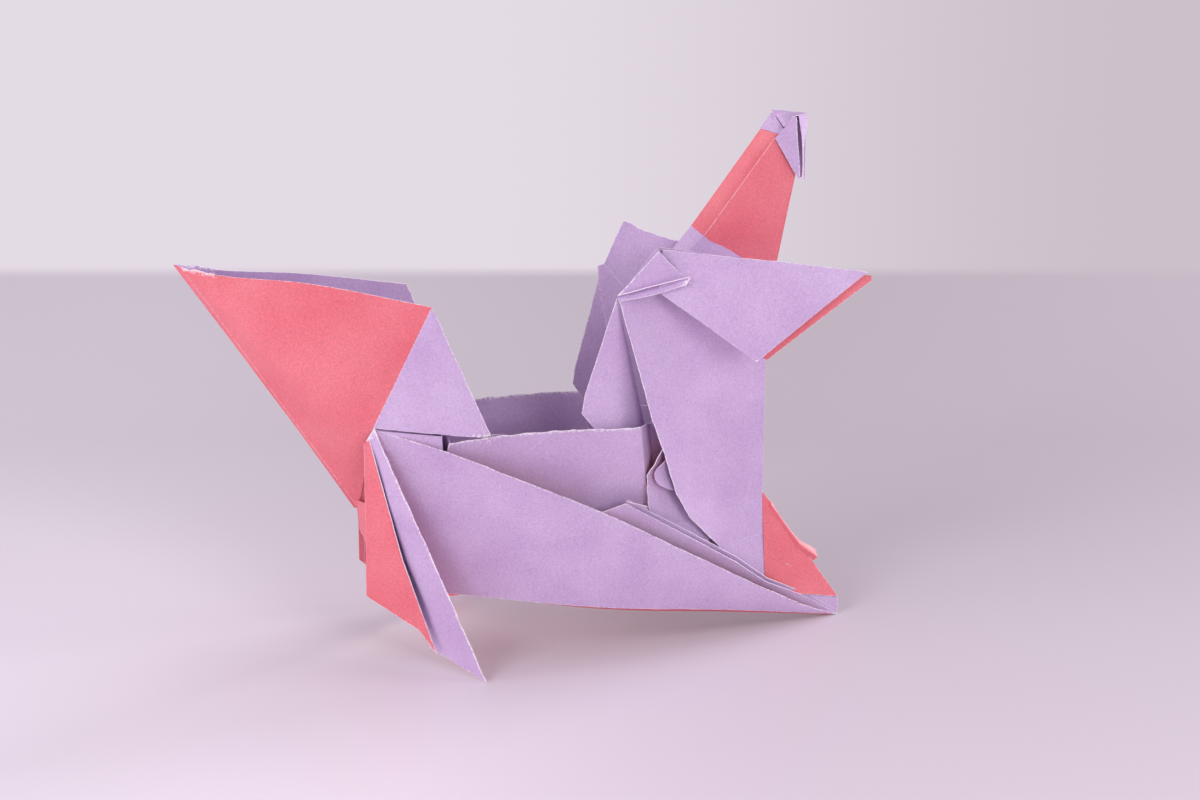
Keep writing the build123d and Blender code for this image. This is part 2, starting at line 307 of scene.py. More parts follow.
# One piece of the folded sheet. Its places are given in mm: behind the bow, out from the plane
# of symmetry and up from the table. Its raw lines carry a width of white and a depth of tear.
def foldedPiece(name, piece, far=False, turn=None):
    places = {key: np.array((-back, -out, up), float) for key, (back, out, up) in piece["places"].items()}
    index, points, faces, outside, inside, normals = {}, [], [], [], [], []
    for own in piece["facets"]:
        look = {**facetLook, **piece, **own}
        grid, upright, normal = facetGrid(places, look)
        normals.append(normal)
        numbers = np.empty(grid.shape[:2], int)
        for j in range(grid.shape[0]):
            for i in range(grid.shape[1]):
                key = tuple(np.round(grid[j, i], 3))
                if key not in index:
                    index[key] = len(points)
                    points.append(grid[j, i])
                numbers[j, i] = index[key]
        for j in range(grid.shape[0] - 1):
            for i in range(grid.shape[1] - 1):
                ring = [numbers[j, i], numbers[j, i + 1], numbers[j + 1, i + 1], numbers[j + 1, i]]
                ring = [int(n) for k, n in enumerate(ring) if n != ring[k - 1]]
                if len(set(ring)) < 3:
                    continue
                faces.append(ring if upright else ring[::-1])
                outside.append(finishNumbers[look["outside"]])
                inside.append(finishNumbers[look["inside"]])
    flat = np.array(points)
    # The white along fold lines is rubbed paper plus a painted highlight of the rounded fold
    attributes = {"rawEdge": distanceTo(flat, places, piece.get("raw", ())),
                  "foldEdge": distanceTo(flat, places, piece.get("wearAndHighlight", ()))}
    for attribute, line in zip(("creaseOne", "creaseTwo"), piece.get("creases", ())):
        start, end = (places[key] for key in line.split())
        run = end - start
        length = np.linalg.norm(run)
        aside = np.cross(normals[0], run / length)
        attributes[attribute] = np.stack([(flat - start) @ aside, (flat - start) @ run / length,
                                          np.full(len(flat), length)], axis=1)
    placed = np.array([waved(point) for point in points])
    for names, _, tear in piece.get("raw", ()):
        near = distanceTo(flat, places, [(names, sheetLook["tearReach"])])
        for number in np.nonzero(near < sheetLook["tearEnd"])[0]:
            place = Vector(placed[number])
            fade = math.exp(-near[number] ** 2)
            for size, share in sheetLook["tearSizes"]:
                tooth = np.array(noise.noise_vector(place / size))
                placed[number] += tooth * tear * sheetLook["tearGain"] * share * fade
    if far:
        placed[:, 1] *= -1
        faces = [ring[::-1] for ring in faces]
    if turn is not None:
        placed = turn(placed)
    return thickSheet(name, placed, faces, outside, inside, attributes)


# An outer and an inner face, and a rim that shows the core where the edge is raw
def thickSheet(name, placed, faces, outside, inside, attributes):
    lift = np.zeros_like(placed)
    for ring in faces:
        corner = placed[ring]
        if len(ring) == 3:
            lift[ring] += np.cross(corner[1] - corner[0], corner[2] - corner[0])
        else:
            lift[ring] += np.cross(corner[2] - corner[0], corner[3] - corner[1])
    lift /= np.maximum(np.linalg.norm(lift, axis=1), 1e-9)[:, None]
    half = sheetLook["thickness"] / 2
    count = len(placed)
    every = np.concatenate((placed + lift * half, placed - lift * half)) + (bowAhead, 0, -tableDrop)
    every[:, 2] = np.maximum(every[:, 2], sheetLook["lowest"])
    uses = {}
    for number, ring in enumerate(faces):
        for a, b in zip(ring, ring[1:] + ring[:1]):
            uses.setdefault((min(a, b), max(a, b)), []).append((a, b, number))
    rims, rimFinish = [], []
    for used in uses.values():
        if len(used) == 1:
            a, b, number = used[0]
            rims.append((b, a, a + count, b + count))
            isRaw = max(attributes["rawEdge"][a], attributes["rawEdge"][b]) < sheetLook["rimWidth"]
            rimFinish.append(finishNumbers["core"] if isRaw else outside[number])
    allFaces = faces + [[n + count for n in ring[::-1]] for ring in faces] + rims
    mesh = bpy.data.meshes.new(name)
    mesh.from_pydata([tuple(point * mm) for point in every], [], allFaces)
    for attribute, values in attributes.items():
        double = np.concatenate((values, values))
        kind, field = ("FLOAT_VECTOR", "vector") if double.ndim == 2 else ("FLOAT", "value")
        mesh.attributes.new(attribute, kind, "POINT").data.foreach_set(field, double.ravel())
    for finish in finishes.values():
        mesh.materials.append(finish)
    mesh.polygons.foreach_set("material_index", outside + inside + rimFinish)
    mesh.shade_smooth()
    mesh.set_sharp_from_angle(angle=math.radians(sheetLook["softFold"]))
    return finishPiece(name, mesh)


def addObject(name, content):
    holder = bpy.data.objects.new(name, content)
    bpy.context.collection.objects.link(holder)
    return holder


def finishPiece(name, mesh):
    piece = addObject(name, mesh)
    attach(piece, "root")
    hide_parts("folded_sheet")
    return piece


# A facet between rows of places, with what it has of its own
def facet(*rows, **own):
    return {"rows": rows, **own}


def sidePiece(name, piece, far, turn=None):
    foldedPiece(name + ("Far" if far else "Near"), piece, far, turn)


# The same piece on both sides of the dog
def foldedPair(name, piece):
    for far in (False, True):
        sidePiece(name, piece, far)


# Loose pulp fibres at the torn places: thin curved threads of the core
fibreLook = {
    "radius": 0.035,     # mm at the root
    "taper": 0.6,        # of the radius, lost towards the tip
    "curl": 0.35,        # of the length
    "shortest": 0.5,     # of the length given
    "rings": 4, "sides": 3,
}


def fibres(name, places, count, length, spread, seed):
    picker = random.Random(seed)
    rings, sides = fibreLook["rings"], fibreLook["sides"]
    points, faces = [], []
    for _ in range(count):
        back, out, up = picker.choice(places)
        root = Vector((-back, -out, up)) + Vector([picker.uniform(-spread, spread) for _ in range(3)])
        run = Vector([picker.gauss(0, 1) for _ in range(3)]).normalized()
        curl = Vector([picker.gauss(0, 1) for _ in range(3)]).normalized()
        reach = length * picker.uniform(fibreLook["shortest"], 1.0)
        first = len(points)
        for ring in range(rings + 1):
            t = ring / rings
            centre = root + run * reach * t + curl * reach * fibreLook["curl"] * t * t
            thick = fibreLook["radius"] * (1 - fibreLook["taper"] * t)
            for side in range(sides):
                angle = 2 * math.pi * side / sides
                points.append(centre + curl * thick * math.cos(angle)
                              + run.cross(curl) * thick * math.sin(angle))
        for ring in range(rings):
            for side in range(sides):
                a, b = first + sides * ring + side, first + sides * ring + (side + 1) % sides
                faces.append((a, b, b + sides, a + sides))
    mesh = bpy.data.meshes.new(name)
    shift = Vector((bowAhead, 0, -tableDrop))
    mesh.from_pydata([(point + shift) * mm for point in points], [], faces)
    mesh.materials.append(finishes["core"])
    return finishPiece(name, mesh)


# Corners that several pieces share
hip = (73.3, 8.0, 38.8)
rearFold = (75.0, 7.0, 11.4)
tailCorner = (64.0, 6.0, 56.4)
farTailCorner = (66.6, 6.0, 56.4)
tailRoot = (75.3, 0.2, 23.0)
gutterRear = (66.0, 4.5, 17.0)
gutterFront = (20.0, 2.0, 9.0)
bowTop = (0.0, 0.0, 3.1)
bowFoot = (0.1, 0.0, 0.25)

# Tail: coral outside and lilac inside, with a blunt spine and a torn tip
for far in (False, True):
    tail = {
        "places": {
            "tip": (100, 0.8, 62.7), "nick": (95.4, 1.4, 61.6), "top": (82.4, 3.5, 59.6 if far else 60.3),
            "corner": farTailCorner if far else tailCorner, "hip": hip, "root": tailRoot,
            "spineEnd": (84, 0.5, 37), "spine": (101.1, 0, 62.9), "spineRoot": (84.6, 0, 37.2),
            "rootEnd": (76, 0, 23.1),
        },
        "outside": "coral",
        "facets": [
            facet("~tip nick top corner", "tip hip", "~tip spineEnd root", steps=(100, 60), bulge=0.5),
            facet("spine spineRoot rootEnd", "tip spineEnd root", steps=(80, 3), faces="rear"),
        ],
        "raw": [("~tip nick top corner", 0.07, 0.02), ("tip nick", 0.45, 0.3)],
        "wearAndHighlight": [("~tip spineEnd root", 0.1), ("corner hip", 0.08)],
    }
    sidePiece("tail", tail, far)

# Tail root: the layers that end below the tail, in front of the far hind leg
tailRootLayer = {
    "places": {"a": (75.6, 0.6, 24.5), "b": (75.2, 0.6, 19.6), "c": (74.4, 4, 18.6), "d": (74, 6.5, 26)},
    "facets": [facet("a b", "d c", outside="coral", inside="coral", steps=(12, 12))],
    "raw": [("b c", 0.08, 0.05)],
}
foldedPair("tailRoot", tailRootLayer)

# Rump flap: the tail's sheet folded out and down below its top corner, creased once
for far in (False, True):
    rumpFlap = {
        "places": {
            "corner": farTailCorner if far else tailCorner, "hip": hip,
            "fold": (61.4 if far else 58.6, 9.35, 36.9), "front": (59.2 if far else 55.9, 8.9, 36.9),
        },
        "facets": [
            facet("corner hip", "corner fold", bulge=0.25),
            facet("corner fold", "corner front", steps=(60, 8)),
        ],
        "raw": [("corner front", 0.14, 0.06), ("fold front", 0.4, 0.22), ("hip fold", 0.05, 0.05)],
        "wearAndHighlight": [("corner hip", 0.08)],
    }
    sidePiece("rumpFlap", rumpFlap, far)

# Sliver: a layer that shows between the rump flap and the skirt
sliver = {
    "places": {
        "hip": (72.8, 8, 38.4), "top": (63.3, 8.9, 37.2), "low": (63.1, 8.9, 33.5), "rear": (73, 7.8, 35.5),
        "deepTop": (62.7, 4.6, 36.6), "deepLow": (62.7, 4.6, 33), "foreTop": (62, 8.5, 36.2),
        "foreLow": (62, 8.3, 33),
    },
    "facets": [
        facet("hip top", "rear low", steps=(24, 10)),
        facet("top low", "deepTop deepLow", steps=(10, 10), faces="fore"),
        facet("foreTop foreLow", "deepTop deepLow", steps=(10, 10), faces="rear"),
    ],
    "raw": [("top low", 0.04, 0.05)],
}
foldedPair("sliver", sliver)

# Hind leg: a lilac strip from hip to foot, and the sheet's edge turned up beside it as a cuff
leg = {
    "places": {
        "hip": (73.2, 8.3, 38.9), "heel": (74.3, 7.7, 36.8), "foot": (58, 16.4, 0.12),
        "lipTop": (71.3, 8.7, 27), "lipMid": (69, 9.15, 18), "lipLow": (65.5, 10.6, 9),
        "lipEnd": (64.7, 9.9, 2.63), "knee": (72.2, 6.2, 25), "shin": (68.6, 5.8, 12), "toe": (65.7, 8.9, 3),
        "kneeIn": (70.6, 5, 25), "toeIn": (64.8, 6.4, 4.2), "heelIn": (73.8, 6.4, 36.2),
    },
    "facets": [
        facet("hip foot", "hip lipTop lipMid lipLow lipEnd", inside="coral", steps=(90, 14), bulge=0.12),
        facet("hip lipTop lipMid lipLow lipEnd", "heel knee shin toe", steps=(90, 10)),
        facet("heel knee shin toe", "heelIn kneeIn toeIn", inside="coral", steps=(90, 6), faces="rear"),
    ],
    "raw": [("hip foot", 0.22, 0.1), ("toe foot", 0.12, 0.06), ("hip heel", 0.5, 0.1)],
}
foldedPair("legStrip", leg)
for far in (False, True):
    cuff = {
        "places": {
            "hip": (73.9, 7.9, 36.9), "waist": (69.6, 9.9, 18.1), "tip": (64.9, 11.2, 2.9),
            "hem": (67.4, 10.2, 6.6), "rearFold": rearFold, "rearTop": (74.7, 7.6, 36.3),
            "inHip": (72.8, 5.9, 35.6), "inPad": (66, 6.2, 4),
        },
        "facets": [
            facet("hip waist tip", "hip hem", "rearTop rearFold", outside="coral",
                  inside="coral" if far else "lilac", steps=(70, 24), smooth=False),
            facet("rearTop rearFold", "inHip inPad", outside="coral" if far else "lilac", inside="coral",
                  steps=(70, 10), faces="fore"),
        ],
        "raw": [("hip waist tip", 0.1, 0.03), ("tip hem rearFold", 0.08, 0.03)],
        "wearAndHighlight": [("rearTop rearFold", 0.06)],
    }
    sidePiece("cuff", cuff, far)

# Skirt: the outer flank, bowed outward, from the rear fold to the bow
skirt = {
    "places": {
        "hip": (73, 7.9, 38.5), "shoulder": (62.8, 9.6, 35), "rib": (52, 10.2, 30.1), "mid": (39.6, 9.7, 24),
        "fore": (25.3, 7.5, 15.3), "front": (12.2, 4.5, 7), "bow": (4.2, 1.5, 2.1), "stem": bowFoot,
        "rearFold": (74.4, 4.4, 12), "hemRear": (61.8, 7.4, 11), "hemMid": (39.5, 8.7, 7.8),
        "hemFore": (18.5, 5, 4.2), "hemStem": (0.1, 0, 0.15), "creaseRear": (52.4, 9.3, 18.9),
        "creaseFore": (40.5, 9.2, 21.1),
    },
    "facets": [
        facet("~hip shoulder rib mid fore front bow stem", "~rearFold hemRear hemMid hemFore hemStem",
              inside="coral", steps=(150, 44), bulge=0.35),
    ],
    "raw": [
        ("~hip shoulder rib mid fore front bow stem", 0.14, 0.07),
        ("~rearFold hemRear hemMid hemFore hemStem", 0.09, 0.04),
    ],
    "creases": ["creaseRear creaseFore"],
}
foldedPair("skirt", skirt)

# Hem: the coral layer turned in behind the skirt's lower edge
hem = {
    "places": {
        "rear": (62.5, 5.7, 10.8), "mid": (39.5, 7.1, 6.9), "fore": (18.5, 3.6, 3.3), "stem": (1, 0.2, 0.2),
        "upRear": (62.5, 7.1, 11.3), "upMid": (39.5, 8.4, 8), "upFore": (18.5, 4.7, 4.4),
        "upStem": (2, 0.5, 0.6), "inRear": (62.5, 4.4, 12.3), "inMid": (39.5, 5.6, 9),
        "inFore": (18.5, 2.7, 5), "inStem": (3, 0.2, 1),
    },
    "facets": [
        facet("~upRear upMid upFore upStem", "~rear mid fore stem", "~inRear inMid inFore inStem",
              outside="coral", inside="coral", steps=(80, 10), smooth=False, faces="down"),
    ],
}
foldedPair("hem", hem)

# Trough: torn-edged walls that lean in to a floor, turned in behind the chest
for far in (False, True):
    wall = {
        "places": {
            "rear": (62.1, 8.8, 36), "torn": (55.8, 8.6, 36.5), "rise": (45.5, 8.5, 36.9),
            "mid": (39.5, 8.3, 36.7), "front": (33.2, 7.8, 36.5), "turn": (31.2, 4, 35.7),
            "gutterRear": gutterRear, "gutterMid": (40, 3.6, 12.6), "gutterFore": (30, 2.9, 10.8),
            "turnFoot": (28.4, 0.9, 10.2), "end": (25, 2.4, 35.4), "endFoot": (22, 0.6, 10.2),
            "creaseTop": (47.2, 8.6, 36), "creaseLow": (51.9, 8.2, 31.8), "folds": (46, 8.6, 36.6),
            "foldsLow": (41.1, 7, 30.3),
        },
        "facets": [
            facet("~rear torn rise mid front", "gutterRear gutterMid gutterFore", steps=(90, 50), bulge=-0.3),
            facet("front gutterFore", "turn turnFoot", steps=(50, 10), faces="fore"),
            facet("turn turnFoot", "end endFoot", steps=(50, 10)),
        ],
        "raw": [
            ("~rear torn rise mid front", 0.34, 0.16), ("rear gutterRear", 0.1, 0.05),
            ("front turn end", 0.16, 0.06),
        ],
        "creases": ["folds foldsLow" if far else "creaseTop creaseLow"],
    }
    sidePiece("wall", wall, far)
floor = {
    "places": {
        "gutterRear": gutterRear, "gutterFront": gutterFront, "rear": (66, 0, 17), "front": (20, 0, 9),
        "root": tailRoot, "hip": (73.2, 7.4, 38.4), "rump": (61.2, 5.6, 36.2),
    },
    "facets": [
        facet("gutterRear gutterFront", "rear front", outside="coral", steps=(60, 8), faces="down"),
        facet("hip root", "gutterRear rear", outside="coral", steps=(30, 8), faces="rear"),
        facet("hip gutterRear", "rump gutterRear", steps=(30, 16)),
    ],
}
foldedPair("troughFloor", floor)

# Band: two layers that stand inside the skirt and rise above its front half
band = {
    "places": {
        "start": (40.5, 9.1, 23.2), "apex": (35.5, 8.7, 24.6), "mid": (25.3, 6.7, 17.7),
        "fore": (17.6, 5.2, 12.4), "front": (12.6, 4, 8.2), "bow": (5.6, 1.4, 4.2), "stem": (0.4, 0.1, 0.5),
        "startLow": (40.5, 5.5, 12), "midLow": (25.3, 2.8, 7), "foreLow": (12.6, 1.8, 4),
        "stemLow": (0.4, 0.1, 0.3),
    },
    "facets": [
        facet("start apex mid fore front bow stem", "startLow midLow foreLow stemLow", steps=(90, 16)),
    ],
    "raw": [("start apex mid fore front bow stem", 0.05, 0.04)],
}
foldedPair("bandOuter", band)
bandInner = {
    "places": {
        "apex": (35.2, 8.1, 25), "mid": (25, 6.1, 18.2), "fore": (17.3, 4.6, 12.9), "front": (12.3, 3.4, 8.6),
        "bow": (5.2, 1, 4.4), "stem": (0.3, 0, 0.9), "apexLow": (35.2, 4.4, 12), "midLow": (25, 2.2, 7),
        "foreLow": (12.3, 1.4, 4), "stemLow": (0.3, 0, 0.4),
    },
    "facets": [facet("apex mid fore front bow stem", "apexLow midLow foreLow stemLow", steps=(80, 14))],
    "raw": [("apex mid fore front bow stem", 0.05, 0.04)],
}
foldedPair("bandInner", bandInner)
bandTip = {
    "places": {
        "apex": (35.4, 8.4, 24.9), "top": (32, 7.7, 23.5), "low": (31.4, 5.4, 19), "rear": (35, 6.2, 19),
    },
    "facets": [facet("apex top", "rear low", inside="coral", steps=(12, 12))],
    "raw": [("apex top", 0.1, 0.04), ("top low", 0.08, 0.04)],
}
foldedPair("bandTip", bandTip)

# Tuck: the sheet folded under beside the chest, with a small round pocket in it
tuck = {
    "places": {
        "top": (29.4, 6.4, 32.4), "bend": (31, 6.6, 29.6), "left": (31.9, 6.7, 28.2),
        "side": (31.9, 6.7, 26.2), "low": (31.4, 6.2, 20.6), "inTop": (27.6, 2.9, 33), "inMid": (27, 3, 27),
        "inLow": (23.2, 3.7, 18.6), "right": (24.9, 5.4, 16.6), "frontTop": (20.6, 2.2, 17.8),
        "frontLow": (22.3, 4.9, 14.6),
    },
    "inside": "coral",
    "facets": [
        facet("top bend left side low", "inTop inMid inLow", steps=(40, 20), bulge=0.2),
        facet("low right", "inLow", steps=(20, 12)),
        facet("inLow right", "frontTop frontLow", steps=(12, 12)),
    ],
    "raw": [("top bend left side low", 0.09, 0.1)],
    "wearAndHighlight": [("inLow right", 0.06)],
}
foldedPair("tuck", tuck)
pocket = {
    "places": {
        "a": (28.2, 6.1, 30.9), "b": (29.4, 6.8, 30.2), "c": (30.8, 7.1, 28.7), "d": (30.5, 7, 27.1),
        "e": (29, 6.7, 25.9), "f": (27.2, 6, 25.1), "g": (26.6, 4.2, 30.4), "h": (26.6, 4.4, 26.2),
    },
    "facets": [facet("~a b c d e f", "g h", inside="coral", steps=(30, 12), bulge=0.2)],
}
foldedPair("tuckPocket", pocket)

# Chest and neck: two upright sides that spread from the spine; the rear edge stands off a little
spread = 7.6 / 24.1


def neckSide(back, up, lift=0.0):
    return (back, spread * (back - 12.5) + lift, up)


chest = {
    "places": {
        "top": (36.6, 7.7, 57.1), "side": neckSide(31.3, 37.2, 1.7), "waist": neckSide(29.4, 31.8, 2),
        "haunch": neckSide(27.4, 24.9, 2.2), "low": neckSide(25.1, 20.6, 2.1), "brisket": (17.5, 3.2, 11.6),
        "tip": (12.3, 2.2, 6.1), "midTop": neckSide(24, 57), "midSide": neckSide(22, 36),
        "midLow": neckSide(18.5, 20, 0.2), "throat": neckSide(12.5, 57), "spineFoot": neckSide(12.5, 21.8),
        "shin": (12.4, 0.9, 14), "arcRear": (17, 1.9, 14.6), "arcFore": (12.4, 0.9, 14.9),
    },
    "facets": [
        facet("top side waist haunch low brisket tip", "midTop midSide midLow tip",
              "throat spineFoot shin tip", steps=(110, 44)),
    ],
    "raw": [("top side waist haunch low brisket tip", 0.13, 0.06)],
    "wearAndHighlight": [("throat spineFoot shin tip", 0.07)],
    "creases": ["arcRear arcFore"],
}
foldedPair("chest", chest)
crownSide = {
    "places": {
        "top": (36.6, 7.6, 57), "throat": neckSide(12.5, 57), "crown": neckSide(30.5, 64),
        "collar": neckSide(24.6, 62.5), "collarFront": neckSide(18, 61.3),
    },
    "facets": [facet("top crown collar collarFront", "throat", steps=(60, 20))],
    "raw": [("top crown", 0.08, 0.03), ("crown collar", 0.08, 0.05)],
}
foldedPiece("crownNear", crownSide)

# The far crown stands higher, with a ragged top edge
farCrown = {
    "places": {
        "apex": (33.4, 6.4, 64.8), "ragged": (31.5, 5.9, 63.8), "dip": (28.9, 5.1, 62.7),
        "front": (24, 3.6, 61.6), "left": (36.3, 7.3, 57.7), "step": (37.2, 7.7, 57.3),
        "heel": (37.2, 7.7, 55), "low": (30, 5.6, 50), "lowFront": (20, 2.4, 54),
        "throat": neckSide(12.5, 57),
    },
    "facets": [
        facet("~apex ragged dip front", "left low lowFront", steps=(50, 30), bulge=-0.3),
        facet("left step heel", "left low", steps=(30, 10)),
        facet("front lowFront", "throat", steps=(30, 10)),
    ],
    "raw": [("~apex ragged dip front", 0.12, 0.12), ("apex left step heel", 0.08, 0.04)],
    "wearAndHighlight": [("left low", 0.1)],
}
foldedPiece("crownFar", farCrown, far=True)

# Prow: the coral front of the chest, down to the bow
prow = {
    "places": {
        "spineFoot": (12.6, 0, 21.9), "bowTop": bowTop, "hem": (6.9, 1.7, 4.8), "tip": (12.2, 2.25, 5.9),
        "creaseRear": (11.5, 1.2, 11.2), "creaseFore": (6.7, 0.6, 8.6),
    },
    "facets": [
        facet("spineFoot bowTop", "spineFoot hem", "spineFoot tip", outside="coral", steps=(50, 24),
              smooth=False),
    ],
    "raw": [("bowTop hem tip", 0.09, 0.04)],
    "wearAndHighlight": [("spineFoot bowTop", 0.06)],
    "creases": ["creaseRear creaseFore"],
}
foldedPair("prow", prow)
prowTab = {
    "places": {
        "spur": (11.2, -0.1, 20.2), "nib": (10.1, -0.3, 18.1), "run": (6.2, -0.4, 12.9),
        "roll": (3.7, -0.7, 11.1), "inSpur": (11.7, 0.2, 19), "inRun": (7, 0.2, 12), "end": (4.1, -0.1, 9.5),
        "midSpur": (11.2, 0.3, 19.6), "midRun": (6.4, 0.4, 12.5), "midEnd": (3.5, 0.2, 10.2),
    },
    "facets": [
        facet("~spur nib run roll", "midSpur midRun midEnd", "inSpur inRun end", outside="coral",
              inside="coral", steps=(30, 10)),
    ],
    "raw": [("~spur nib run roll", 0.05, 0.08)],
}
foldedPiece("prowTab", prowTab)
bow = {
    "places": {
        "tip": (12, 1.9, 5.8), "hem": (6.9, 1.4, 4.7), "top": (0, 0, 3), "tipLow": (11, 0.8, 2.4),
        "hemLow": (6, 0.3, 1.4), "foot": (0.05, 0, 0.3),
    },
    "facets": [facet("tip hem top", "tipLow hemLow foot", steps=(30, 10))],
    "raw": [("top foot", 0.1, 0.05)],
    "wearAndHighlight": [("top foot", 0.06)],
}
foldedPair("bow", bow)

# Neck flap: hangs from the back of the neck into the trough and bends in behind the chest
neckFlap = {
    "places": {
        "top": (36.8, 7.5, 56.9), "heel": (41.5, 7.1, 42), "corner": (42, 7.1, 38.9), "foot": (39.8, 7, 36),
        "toe": (38.5, 5.6, 29), "bend": (35.2, 5.8, 29), "inner": (30.4, 2.2, 29),
        "creaseRear": (41.5, 7.2, 42), "creaseFore": (33.3, 6.4, 46),
    },
    "facets": [facet("top heel corner foot toe", "top bend", "top inner", steps=(60, 36))],
    "raw": [("top heel corner foot toe", 0.11, 0.04)],
    "creases": ["creaseRear creaseFore"],
}
foldedPiece("neckFlapNear", neckFlap)
farNeckFlap = {
    "places": {
        "top": (37.2, 7.6, 55.2), "heel": (40.9, 7.2, 41), "corner": (41.2, 7.2, 38.6),
        "foot": (39.9, 7, 36.4), "toe": (38.5, 6.5, 29), "ridge": (36, 6.9, 47.5), "bend": (35, 6.4, 29),
        "inner": (27, 3, 29), "topInner": (32.5, 6.4, 56), "creaseRear": (40.9, 7.2, 41),
        "creaseFore": (39, 7.2, 38.6),
    },
    "facets": [
        facet("top heel corner foot toe", "top ridge bend", steps=(60, 20)),
        facet("top ridge bend", "topInner inner", steps=(60, 16)),
    ],
    "raw": [("top heel corner foot toe", 0.11, 0.04)],
    "wearAndHighlight": [("top ridge", 0.1)],
    "creases": ["creaseRear creaseFore"],
}
foldedPiece("neckFlapFar", farNeckFlap, far=True)

# Pleat: folded over the ear's root, with its lower edge rolled
pleat = {
    "places": {
        "left": (36.6, 7.8, 57.4), "apex": (30.5, 8.1, 64.1), "slit": (28.8, 8.2, 62), "low": (26.6, 8.1, 60),
        "crownTop": (36.6, 7.6, 57), "crown": neckSide(30.5, 64),
    },
    "facets": [
        facet("left apex", "left slit", "left low", steps=(40, 20), smooth=False),
        facet("left apex", "crownTop crown", steps=(40, 6), faces="rear"),
    ],
    "raw": [("apex slit low", 0.09, 0.05), ("left apex", 0.1, 0.03)],
    "wearAndHighlight": [("left low", 0.12)],
}
foldedPiece("pleatNear", pleat)
rolledEdge = {
    "places": {
        "upLeft": (36.7, 8, 57.5), "upMid": (31.6, 8.6, 58.9), "upRight": (26.1, 8.9, 60.1),
        "inLeft": (36.6, 7.4, 57.2), "inMid": (31.5, 7.7, 58.6), "inRight": (26, 8.6, 59.8),
        "downLeft": (36.3, 8.1, 56.6), "downMid": (31.6, 8.7, 57.5), "downRight": (26.6, 8.9, 58.9),
    },
    "facets": [
        facet("~upLeft upMid upRight", "~inLeft inMid inRight", "~downLeft downMid downRight",
              steps=(40, 10)),
    ],
    "raw": [
        ("~upLeft upMid upRight", 0.07, 0.03), ("~downLeft downMid downRight", 0.08, 0.03),
        ("upRight inRight downRight", 0.45, 0.15),
    ],
}
foldedPiece("pleatEdge", rolledEdge)
farPleat = {
    "places": {"top": (36.6, 7.6, 57), "crown": (33.2, 6.7, 64), "low": (26.8, 5.7, 59)},
    "facets": [facet("top crown", "top low", steps=(20, 12))],
    "raw": [("crown low", 0.08, 0.04)],
}
foldedPiece("pleatFar", farPleat, far=True)

# Snout: coral, with a hollow bridge between two ridges, on a lilac collar
ridge = (22.8, 2.6, 64.5)
bridge = (12.2, 2.0, 78.9)
chin = (8.5, 0.0, 72.6)
snout = {
    "places": {
        "ridge": ridge, "bridge": bridge, "chin": chin, "jaw": (11, 0, 59.3), "throat": neckSide(12.5, 57),
        "collarFront": neckSide(18.5, 59.8, -0.12),
    },
    "facets": [
        facet("ridge bridge", "collarFront throat jaw chin", outside="coral", inside="coral", bulge=0.25),
    ],
    # The pale line along the ridge is a painted highlight where the rounded fold catches the light
    "wearAndHighlight": [("ridge bridge", 0.13)],
}
foldedPair("snout", snout)
bridgePlaces = {
    "ridge": ridge, "bridge": bridge, "farRidge": (23.7, -2.6, 64.5), "farBridge": (13.5, -2, 79.2),
    "midRidge": (22.2, 0.5, 63.6), "midBridge": (11.6, 0.4, 79), "underCap": (10.6, 1.5, 79.2),
    "farSideRidge": (22.8, -2.6, 64.5), "farSideBridge": (12.2, -2, 78.9), "collar": (26.4, 2.8, 61),
    "farCollar": (26.4, -2.8, 61), "midCollar": (25.9, 0.5, 60.2), "sideCollar": neckSide(18, 61.3),
    "sideLow": (21.5, 3.2, 57), "farSideCollar": (18, -1.73, 61.3), "farSideLow": (21.5, -3.2, 57),
}
snoutBridge = {
    "places": bridgePlaces,
    "outside": "coral",
    "facets": [
        facet("ridge bridge", "midRidge midBridge", "farRidge farBridge", steps=(50, 16), faces="rear"),
        facet("bridge midBridge", "underCap", steps=(10, 6), faces="rear"),
        facet("farRidge farBridge", "farSideRidge farSideBridge", inside="coral", steps=(50, 4), faces="in"),
    ],
}
foldedPiece("snoutBridge", snoutBridge)
snoutCollar = {
    "places": bridgePlaces,
    "inside": "coral",
    "facets": [
        facet("ridge collar", "midRidge midCollar", "farRidge farCollar", steps=(12, 16), faces="rear"),
        facet("ridge collar", "sideCollar sideLow", steps=(12, 14)),
        facet("farRidge farCollar", "farSideCollar farSideLow", steps=(12, 14), faces="in"),
    ],
    "wearAndHighlight": [("ridge collar", 0.07), ("farRidge farCollar", 0.07)],
}
foldedPiece("snoutCollar", snoutCollar)

# Nose cap: the sheet's lilac corner folded over the end of the snout, open along a slit
noseCap = {
    "places": {
        "heel": (11.75, -2.5, 82), "farBridge": (13.6, -2.05, 79.3), "notch": (10.5, 0, 80),
        "low": (10.7, 1.4, 78.9), "near": (9.6, 1.8, 81.9), "far": (6.75, -1, 81.6),
        "underHeel": (11.7, -2.5, 81.7), "underNotch": (10.5, 0.05, 79.65), "flapNotch": (10.6, 2.1, 80.3),
        "flapBridge": (12.1, 2.1, 78.9),
    },
    "facets": [
        facet("underHeel underNotch", "farBridge low", steps=(14, 12), faces="rear"),
        facet("heel far", "notch near", steps=(14, 10), faces="up"),
        facet("underNotch low", "flapNotch flapBridge", steps=(8, 6), faces="rear"),
        facet("notch near", "flapNotch", steps=(8, 6), faces="rear"),
    ],
    "raw": [("notch near", 0.08, 0.03), ("heel far", 0.05, 0.03)],
}
foldedPiece("noseCap", noseCap)
